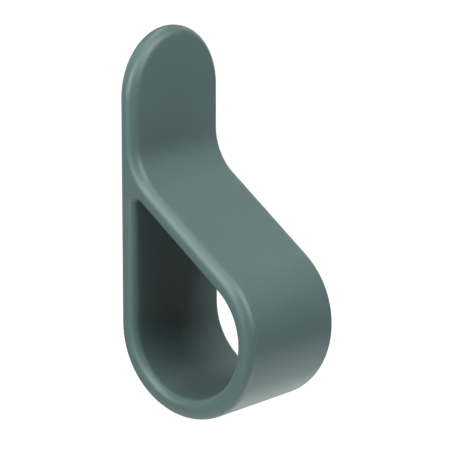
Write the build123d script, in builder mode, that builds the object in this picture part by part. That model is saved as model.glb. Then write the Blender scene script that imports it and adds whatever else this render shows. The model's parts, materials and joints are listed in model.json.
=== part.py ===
from build123d import *
from math import cos, radians, sin, sqrt, tan
import os

# Cabinet knob, die-cast in one piece: a flat tongue that bends forward into a teardrop finger loop.
# X runs across the strap, -Y points away from the cabinet and Z is up. The flat back lies on Y = 0.
# The origin is the mouth of the screw hole.

# Strap and loop, in millimetres and degrees
knob_width = 20.0
strap_thickness = 3.2
loop_radius = 12.9
slope_angle = 53.0
apex_radius = 0.4

# Tongue and the hollow bend at its foot
tongue_thickness = 3.2
tongue_straight = 6.7
bend_radius = 8.0

# Soft cast edges, and the least flat left between the two edges of one wall
edge_radius = 1.5
hole_edge_radius = 1.2
rim_flat = 0.2

# M4 screw hole, with the metal left around it
thread_diameter = 4.0
thread_pitch = 0.7
drill_point_angle = 118.0
mouth_chamfer = 0.3
apex_wall = 0.8
front_wall = 0.8

# The sloping strap meets the back plate at slope_angle, and the loop's centre lies on the bisector.
lean_cos = cos(radians(slope_angle))
lean_sin = sin(radians(slope_angle))
half_tan = tan(radians(slope_angle / 2))

# The screw hole sits just above the rounded top of the finger hole, where the casting is thickest.
hole_radius = loop_radius - strap_thickness
thread_radius = thread_diameter / 2
finger_hole_top = (hole_radius - apex_radius) / half_tan + apex_radius
loop_z = -(finger_hole_top + apex_wall + thread_radius)
loop_centre = (-loop_radius, loop_z)
apex_point = (-strap_thickness, loop_z + hole_radius / half_tan)

# The bend's corner before rounding, and the centre of its arc
bend_corner_z = loop_z + (loop_radius + (loop_radius - tongue_thickness) * lean_cos) / lean_sin
bend_centre_y = -(tongue_thickness + bend_radius)
bend_centre_z = loop_z + (loop_radius + bend_radius + (loop_radius + bend_centre_y) * lean_cos) / lean_sin
round_top_z = bend_centre_z + tongue_straight

# The thread ends where its upper side is front_wall short of the bend.
bend_reach = sqrt((bend_radius + front_wall) ** 2 - (bend_centre_z - thread_radius) ** 2)
thread_depth = -bend_centre_y - bend_reach
tap_radius = (thread_diameter - thread_pitch) / 2
drill_tip_depth = thread_depth + tap_radius / tan(radians(drill_point_angle / 2))

# The thinnest wall limits the outer edges' rounding, and what they leave of the strap limits the hole's.
thinnest_wall = min(strap_thickness, tongue_thickness)
soft_edge = min(edge_radius, (thinnest_wall - rim_flat) / 2)
soft_hole_edge = min(hole_edge_radius, strap_thickness - soft_edge - rim_flat)

with BuildPart() as loop_knob:
    # Side profile, drawn with Y to the right: nose arc, back plate, tongue and sloping strap
    with BuildSketch(Plane.YZ) as profile:
        with BuildLine():
            nose = CenterArc(loop_centre, loop_radius, 180 - slope_angle, 180 + slope_angle)
            Polyline(
                nose @ 1,
                (0, round_top_z),
                (-tongue_thickness, round_top_z),
                (-tongue_thickness, bend_corner_z),
                nose @ 0,
            )
        make_face()
        bend_corner = profile.vertices().sort_by_distance((0, -tongue_thickness, bend_corner_z))[0]
        fillet(bend_corner, bend_radius)
    extrude(amount=knob_width / 2, both=True)

    # Half-round top of the tongue, as wide as the strap
    with BuildSketch(Plane.XZ):
        with Locations((0, round_top_z)):
            Circle(knob_width / 2)
    extrude(amount=tongue_thickness)

    # Soft outer rim, which runs round both sides and over the tongue as one chain
    outer_rim = loop_knob.edges().filter_by(Axis.X, reverse=True).filter_by(Axis.Y, reverse=True)
    fillet(outer_rim, soft_edge)

    # Teardrop finger hole, one strap thickness inside the loop, with a tighter rim
    with BuildSketch(Plane.YZ) as teardrop:
        with BuildLine():
            inner_nose = CenterArc(loop_centre, hole_radius, 180 - slope_angle, 180 + slope_angle)
            Polyline(inner_nose @ 1, apex_point, inner_nose @ 0)
        make_face()
        apex_corner = teardrop.vertices().sort_by_distance((0, *apex_point))[0]
        fillet(apex_corner, apex_radius)
    extrude(amount=knob_width / 2, both=True, mode=Mode.SUBTRACT)
    hole_rim = loop_knob.edges(Select.LAST).filter_by(Axis.X, reverse=True)
    fillet(hole_rim, soft_hole_edge)

    # Blind screw hole in the back, at the thread's full diameter, with a chamfered mouth and a drill point
    with BuildSketch(Plane.XY):
        with BuildLine():
            Polyline(
                (0, 0),
                (thread_radius + mouth_chamfer, 0),
                (thread_radius, -mouth_chamfer),
                (thread_radius, -thread_depth),
                (tap_radius, -thread_depth),
                (0, -drill_tip_depth),
                close=True,
            )
        make_face()
    revolve(axis=Axis.Y, mode=Mode.SUBTRACT)

os.makedirs("parts", exist_ok=True)
loop_knob.part.label = "loop_knob"
export_step(loop_knob.part, "parts/loop_knob.step")
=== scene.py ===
import json
import math

import bmesh
import bpy
from mathutils import Matrix, Quaternion, Vector


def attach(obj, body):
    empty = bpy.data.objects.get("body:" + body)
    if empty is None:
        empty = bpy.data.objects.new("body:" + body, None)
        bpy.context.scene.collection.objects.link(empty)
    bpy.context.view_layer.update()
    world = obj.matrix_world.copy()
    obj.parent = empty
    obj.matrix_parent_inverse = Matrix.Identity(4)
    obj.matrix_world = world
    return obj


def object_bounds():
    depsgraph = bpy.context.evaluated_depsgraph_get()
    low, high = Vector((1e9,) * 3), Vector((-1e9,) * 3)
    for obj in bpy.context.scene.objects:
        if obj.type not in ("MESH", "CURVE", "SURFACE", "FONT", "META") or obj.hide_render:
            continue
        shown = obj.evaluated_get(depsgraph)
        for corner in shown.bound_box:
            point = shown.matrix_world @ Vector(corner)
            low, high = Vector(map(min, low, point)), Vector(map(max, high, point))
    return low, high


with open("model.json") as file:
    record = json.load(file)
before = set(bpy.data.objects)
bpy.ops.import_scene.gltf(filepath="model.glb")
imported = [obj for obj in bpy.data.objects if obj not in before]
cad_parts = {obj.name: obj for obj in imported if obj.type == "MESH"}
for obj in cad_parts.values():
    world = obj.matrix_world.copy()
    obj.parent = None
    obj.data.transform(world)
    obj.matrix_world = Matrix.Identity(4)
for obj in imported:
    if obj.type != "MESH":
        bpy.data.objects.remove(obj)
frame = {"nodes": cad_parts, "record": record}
cad_low, cad_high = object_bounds()

# Loop knob, one cast piece in a matt powder coat, with a tapped hole in its flat back.
# Sizes in metres, angles in degrees. The origin is the mouth of the screw hole on the flat back,
# +Z is up, -Y is the front and X runs across the strap.
MM = 0.001

# Finger loop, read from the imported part: its nose is a full round, as deep as the knob
loop_radius = (cad_high.y - cad_low.y) / 2
loop_centre = Vector((0.0, cad_low.y + loop_radius, cad_low.z + loop_radius))

# M4 thread in the screw hole: the part has the hole at the thread's full diameter
screw_hole = next(m for m in frame["record"]["mounts"] if m["name"] == "screw_hole")
thread_radius = screw_hole["dims"]["r_mm"] * MM
thread_length = screw_hole["dims"]["length_mm"] * MM
thread_mouth = -screw_hole["pos_m"][1]
thread_pitch = 0.7 * MM
ridge_height = 0.35 * MM
ridge_crest = 0.16 * MM
ridge_foot = 0.58 * MM
ridge_bite = 0.03 * MM
ridge_run_in = 0.05 * MM
ridge_steps = 60
ridge_weld = 0.0016 * MM

# Powder coat: its two tones, its roughness from glossiest to dullest, and how strongly it shines
paint_dark = (0.106, 0.175, 0.170, 1.0)
paint_light = (0.114, 0.188, 0.183, 1.0)
paint_roughness = (0.40, 0.44)
paint_index = 1.7
paint_patch_size = 9.0 * MM
paint_peel_size = 0.6 * MM
paint_grit_size = 0.16 * MM
paint_peel_depth = 0.022 * MM

# Bare zinc in the hole: a cone round its axis that stays clear of the painted front
bare_radius = 2.3 * MM
bare_depth = 4.6 * MM
bare_taper = 0.6
zinc_dark = (0.46, 0.46, 0.455, 1.0)
zinc_light = (0.62, 0.62, 0.61, 1.0)
zinc_roughness = (0.24, 0.42)
zinc_patch_size = 1.5 * MM
zinc_peel_size = 0.3 * MM
tool_mark_size = 0.12 * MM
tool_mark_depth = 0.010 * MM

# Grain of both finishes: how finely each noise breaks up, the part of its range that is used,
# and the share of the finer noise in the tone, the gloss and the relief
patch_detail = 2.0
peel_detail = 1.0
grit_detail = 2.0
noise_low = 0.3
noise_high = 0.7
grit_in_tone = 0.35
peel_in_gloss = 0.5
grit_in_relief = 0.25

# Camera, where the photograph was taken from
view_azimuth = -50.434
view_elevation = 13.046
view_roll = 0.009
view_distance = 412.87 * MM
view_aim = loop_centre + Vector((1.224, 1.264, 14.573)) * MM
view_near_limit = 10.0 * MM
view_far_limit = 20.0
sensor_width = 36.0
lens_length = 219.26

# Studio: a white floor far under the knob, a white backdrop all round, and soft lights
floor_gap = 600.0 * MM
floor_size = 2.6
backdrop_radius = 2.0
backdrop_rings = 24
studio_glow = 1.06
softbox_distance = 700.0 * MM
near_distance = 280.0 * MM
room_light = 0.047
room_colour = (1.0, 0.31, 0.19, 1.0)
BLACK = (0.0, 0.0, 0.0, 1.0)
WHITE = (1.0, 1.0, 1.0, 1.0)
LAMP_WHITE = (0.98, 1.0, 1.0)
LAMP_COOL = (0.89, 1.0, 0.99)
LAMP_WARM = (1.0, 1.0, 0.87)


def mesh_object(name, shape):
    """Turns a bmesh into an object of the scene, at the origin."""
    mesh = bpy.data.meshes.new(name)
    shape.to_mesh(mesh)
    shape.free()
    piece = bpy.data.objects.new(name, mesh)
    bpy.context.scene.collection.objects.link(piece)
    return piece


def new_material(name):
    """A node material, with its node tree and its Principled shader."""
    material = bpy.data.materials.new(name)
    material.use_nodes = True
    tree = material.node_tree
    return material, tree, tree.nodes["Principled BSDF"]


def make_surface_grain():
    """Grain that the paint and the bare zinc share: broad patches, a soft peel and fine grit on it."""
    group = bpy.data.node_groups.new("surface_grain", "ShaderNodeTree")
    group.interface.new_socket("Position", in_out="INPUT", socket_type="NodeSocketVector")
    for name in ("Patch Scale", "Peel Scale", "Grit Scale"):
        group.interface.new_socket(name, in_out="INPUT", socket_type="NodeSocketFloat")
    for name in ("Tone", "Gloss", "Height"):
        group.interface.new_socket(name, in_out="OUTPUT", socket_type="NodeSocketFloat")
    nodes = group.nodes
    links = group.links
    given = nodes.new("NodeGroupInput")
    result = nodes.new("NodeGroupOutput")

    def noise(scale, detail):
        texture = nodes.new("ShaderNodeTexNoise")
        texture.inputs["Detail"].default_value = detail
        links.new(given.outputs["Position"], texture.inputs["Vector"])
        links.new(given.outputs[scale], texture.inputs["Scale"])
        return texture.outputs["Fac"]

    def blend(share, low, high):
        mix = nodes.new("ShaderNodeMix")
        mix.inputs["Factor"].default_value = share
        links.new(low, mix.inputs["A"])
        links.new(high, mix.inputs["B"])
        return mix.outputs["Result"]

    def stretch(value):
        spread = nodes.new("ShaderNodeMapRange")
        spread.inputs["From Min"].default_value = noise_low
        spread.inputs["From Max"].default_value = noise_high
        links.new(value, spread.inputs["Value"])
        return spread.outputs["Result"]

    patches = noise("Patch Scale", patch_detail)
    peel = noise("Peel Scale", peel_detail)
    grit = noise("Grit Scale", grit_detail)
    links.new(stretch(blend(grit_in_tone, patches, grit)), result.inputs["Tone"])
    links.new(stretch(blend(peel_in_gloss, patches, peel)), result.inputs["Gloss"])
    links.new(blend(grit_in_relief, peel, grit), result.inputs["Height"])
    return group


def object_place(tree):
    return tree.nodes.new("ShaderNodeTexCoord").outputs["Object"]


def add_grain(tree, shader, place, sizes, depth):
    """Puts the shared grain in a material and gives the shader its relief."""
    grain = tree.nodes.new("ShaderNodeGroup")
    grain.node_tree = surface_grain
    tree.links.new(place, grain.inputs["Position"])
    for name, size in zip(("Patch Scale", "Peel Scale", "Grit Scale"), sizes):
        grain.inputs[name].default_value = 1.0 / size
    bump = tree.nodes.new("ShaderNodeBump")
    bump.inputs["Distance"].default_value = depth
    tree.links.new(grain.outputs["Height"], bump.inputs["Height"])
    tree.links.new(bump.outputs["Normal"], shader.inputs["Normal"])
    return grain


def mix_colour(tree, factor, dark, light):
    """Goes from the dark colour to the light one. Each is a fixed colour or another node's."""
    mix = tree.nodes.new("ShaderNodeMix")
    mix.data_type = "RGBA"
    tree.links.new(factor, mix.inputs["Factor"])
    for colour, name in ((dark, "A"), (light, "B")):
        socket = next(s for s in mix.inputs if s.name == name and s.type == "RGBA")
        if isinstance(colour, tuple):
            socket.default_value = colour
        else:
            tree.links.new(colour, socket)
    return next(s for s in mix.outputs if s.type == "RGBA")


def spread_value(tree, factor, limits):
    spread = tree.nodes.new("ShaderNodeMapRange")
    spread.inputs["To Min"].default_value = limits[0]
    spread.inputs["To Max"].default_value = limits[1]
    tree.links.new(factor, spread.inputs["Value"])
    return spread.outputs["Result"]


def bare_hole_mask(tree, place):
    """One inside the screw hole, where no paint goes, and nought elsewhere."""
    def maths(operation, a, b=None):
        node = tree.nodes.new("ShaderNodeMath")
        node.operation = operation
        for value, socket in zip((a, b), node.inputs):
            if isinstance(value, float):
                socket.default_value = value
            elif value is not None:
                tree.links.new(value, socket)
        return node.outputs["Value"]

    parts = tree.nodes.new("ShaderNodeSeparateXYZ")
    tree.links.new(place, parts.inputs["Vector"])
    across = maths("MULTIPLY", parts.outputs["X"], parts.outputs["X"])
    upright = maths("MULTIPLY", parts.outputs["Z"], parts.outputs["Z"])
    radius = maths("SQRT", maths("ADD", across, upright))
    depth = maths("MULTIPLY", parts.outputs["Y"], -1.0)
    limit = maths("SUBTRACT", bare_depth, maths("MULTIPLY", radius, bare_taper))
    near_axis = maths("LESS_THAN", radius, bare_radius)
    near_back = maths("LESS_THAN", depth, limit)
    return maths("MULTIPLY", near_axis, near_back)


def make_paint():
    """Matt powder coat, with the bare zinc of the tapped hole."""
    material, tree, shader = new_material("powder_coat")
    place = object_place(tree)
    sizes = (paint_patch_size, paint_peel_size, paint_grit_size)
    grain = add_grain(tree, shader, place, sizes, paint_peel_depth)
    bare = bare_hole_mask(tree, place)
    painted = mix_colour(tree, grain.outputs["Tone"], paint_dark, paint_light)
    colour = mix_colour(tree, bare, painted, zinc_light)
    roughness = spread_value(tree, grain.outputs["Gloss"], paint_roughness)
    tree.links.new(colour, shader.inputs["Base Color"])
    tree.links.new(roughness, shader.inputs["Roughness"])
    tree.links.new(bare, shader.inputs["Metallic"])
    shader.inputs["IOR"].default_value = paint_index
    return material


def make_zinc():
    """Cut zinc of the thread, brighter and streakier than the casting."""
    material, tree, shader = new_material("tapped_zinc")
    sizes = (zinc_patch_size, zinc_peel_size, tool_mark_size)
    grain = add_grain(tree, shader, object_place(tree), sizes, tool_mark_depth)
    colour = mix_colour(tree, grain.outputs["Tone"], zinc_dark, zinc_light)
    roughness = spread_value(tree, grain.outputs["Gloss"], zinc_roughness)
    tree.links.new(colour, shader.inputs["Base Color"])
    tree.links.new(roughness, shader.inputs["Roughness"])
    shader.inputs["Metallic"].default_value = 1.0
    return material


def make_thread():
    """Ridge of the thread in the hole: one section wound into a right-hand helix, closed at both ends."""
    shape = bmesh.new()
    foot = thread_radius + ridge_bite
    crest = thread_radius - ridge_height
    first = -(thread_mouth + ridge_run_in + ridge_foot / 2)
    section = (
        (foot, first + ridge_foot / 2),
        (crest, first + ridge_crest / 2),
        (crest, first - ridge_crest / 2),
        (foot, first - ridge_foot / 2),
    )
    corners = [shape.verts.new((radius, y, 0.0)) for radius, y in section]
    start = shape.faces.new(corners)
    turns = (thread_length - 2 * ridge_run_in - ridge_foot) / thread_pitch
    steps = round(turns * ridge_steps)
    bmesh.ops.spin(
        shape,
        geom=[start, *start.edges, *corners],
        cent=(0.0, 0.0, 0.0),
        axis=(0.0, -1.0, 0.0),
        dvec=(0.0, -thread_pitch * turns / steps, 0.0),
        angle=turns * 2 * math.pi,
        steps=steps,
    )
    bmesh.ops.remove_doubles(shape, verts=shape.verts, dist=ridge_weld)
    bmesh.ops.recalc_face_normals(shape, faces=shape.faces)
    thread = mesh_object("screw_thread", shape)
    thread.data.materials.append(make_zinc())
    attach(thread, "root")


def make_studio_white():
    """Plain white of one even glow, which no lamp makes brighter, for the floor and the backdrop."""
    material, _, shader = new_material("studio_white")
    shader.inputs["Base Color"].default_value = BLACK
    shader.inputs["Specular IOR Level"].default_value = 0.0
    shader.inputs["Roughness"].default_value = 1.0
    shader.inputs["Emission Color"].default_value = WHITE
    shader.inputs["Emission Strength"].default_value = studio_glow
    return material


def stage_white(name, shape, white):
    """White ground that is only looked at: it keeps no lamp's light from the knob."""
    ground = mesh_object(name, shape)
    ground.data.materials.append(white)
    ground.visible_diffuse = False
    ground.visible_glossy = False
    ground.visible_shadow = False


def make_floor(white):
    shape = bmesh.new()
    bmesh.ops.create_grid(shape, x_segments=1, y_segments=1, size=floor_size / 2)
    bmesh.ops.translate(shape, verts=shape.verts, vec=(0.0, 0.0, cad_low.z - floor_gap))
    stage_white("studio_floor", shape, white)


def make_backdrop(white):
    shape = bmesh.new()
    bmesh.ops.create_uvsphere(
        shape,
        u_segments=2 * backdrop_rings,
        v_segments=backdrop_rings,
        radius=backdrop_radius,
    )
    bmesh.ops.reverse_faces(shape, faces=shape.faces)
    stage_white("studio_backdrop", shape, white)


def direction(azimuth, elevation):
    """Unit vector from the knob towards a place seen at this azimuth and elevation."""
    a = math.radians(azimuth)
    e = math.radians(elevation)
    return Vector((math.sin(a) * math.cos(e), -math.cos(a) * math.cos(e), math.sin(e)))


def make_camera():
    data = bpy.data.cameras.new("camera")
    data.sensor_width = sensor_width
    data.lens = lens_length
    data.clip_start = view_near_limit
    data.clip_end = view_far_limit
    camera = bpy.data.objects.new("camera", data)
    bpy.context.scene.collection.objects.link(camera)
    back = direction(view_azimuth, view_elevation)
    turn = (-back).to_track_quat("-Z", "Y").to_matrix().to_4x4()
    roll = Matrix.Rotation(math.radians(view_roll), 4, "Z")
    camera.matrix_world = Matrix.Translation(view_aim + back * view_distance) @ turn @ roll
    bpy.context.scene.camera = camera


def make_room_light():
    """Faint warm light from all round, as a room gives back."""
    world = bpy.data.worlds.new("studio")
    world.use_nodes = True
    background = world.node_tree.nodes["Background"]
    background.inputs["Color"].default_value = room_colour
    background.inputs["Strength"].default_value = room_light
    bpy.context.scene.world = world


def make_softbox(name, azimuth, elevation, tilt, spread, brightness, colour, distance=softbox_distance):
    """Rectangular light turned to the loop. Spread is how wide and high the knob sees it."""
    width, height = (2.0 * distance * math.tan(math.radians(s) / 2) for s in spread)
    data = bpy.data.lights.new(name, "AREA")
    data.shape = "RECTANGLE"
    data.size = width
    data.size_y = height
    data.energy = brightness * math.pi * width * height
    data.color = colour
    lamp = bpy.data.objects.new(name, data)
    bpy.context.scene.collection.objects.link(lamp)
    towards = direction(azimuth, elevation)
    turn = Quaternion((0.0, 0.0, 1.0), math.radians(tilt))
    lamp.location = loop_centre + towards * distance
    lamp.rotation_mode = "QUATERNION"
    lamp.rotation_quaternion = towards.to_track_quat("Z", "Y") @ turn
    lamp.visible_camera = False


surface_grain = make_surface_grain()
paint = make_paint()
for slot in frame["nodes"]["loop_knob"].material_slots:
    slot.material = paint
make_thread()

studio_white = make_studio_white()
make_floor(studio_white)
make_backdrop(studio_white)
make_camera()
make_room_light()

# Softboxes left, right, overhead and twice below, and two reflectors for the far side and the back
make_softbox(
    "left_softbox",
    azimuth=-96.0,
    elevation=25.0,
    tilt=-33.0,
    spread=(21.0, 60.0),
    brightness=6.0,
    colour=LAMP_COOL,
)
make_softbox(
    "right_softbox",
    azimuth=9.0,
    elevation=42.0,
    tilt=79.0,
    spread=(41.0, 45.0),
    brightness=3.2,
    colour=LAMP_WHITE,
    distance=near_distance,
)
make_softbox(
    "top_softbox",
    azimuth=-43.0,
    elevation=89.0,
    tilt=-7.0,
    spread=(20.0, 93.0),
    brightness=2.3,
    colour=LAMP_COOL,
)
make_softbox(
    "low_softbox",
    azimuth=92.0,
    elevation=-88.0,
    tilt=41.0,
    spread=(89.0, 125.0),
    brightness=0.84,
    colour=LAMP_COOL,
)
make_softbox(
    "low_front_softbox",
    azimuth=29.0,
    elevation=-57.0,
    tilt=-43.0,
    spread=(53.0, 28.0),
    brightness=1.2,
    colour=LAMP_COOL,
)
make_softbox(
    "side_reflector",
    azimuth=105.0,
    elevation=-10.0,
    tilt=10.0,
    spread=(23.0, 95.0),
    brightness=1.15,
    colour=LAMP_WARM,
)
make_softbox(
    "rear_reflector",
    azimuth=-173.0,
    elevation=27.0,
    tilt=-15.0,
    spread=(35.0, 83.0),
    brightness=0.75,
    colour=LAMP_WHITE,
)
bpy.context.scene.view_settings.view_transform = "Standard"
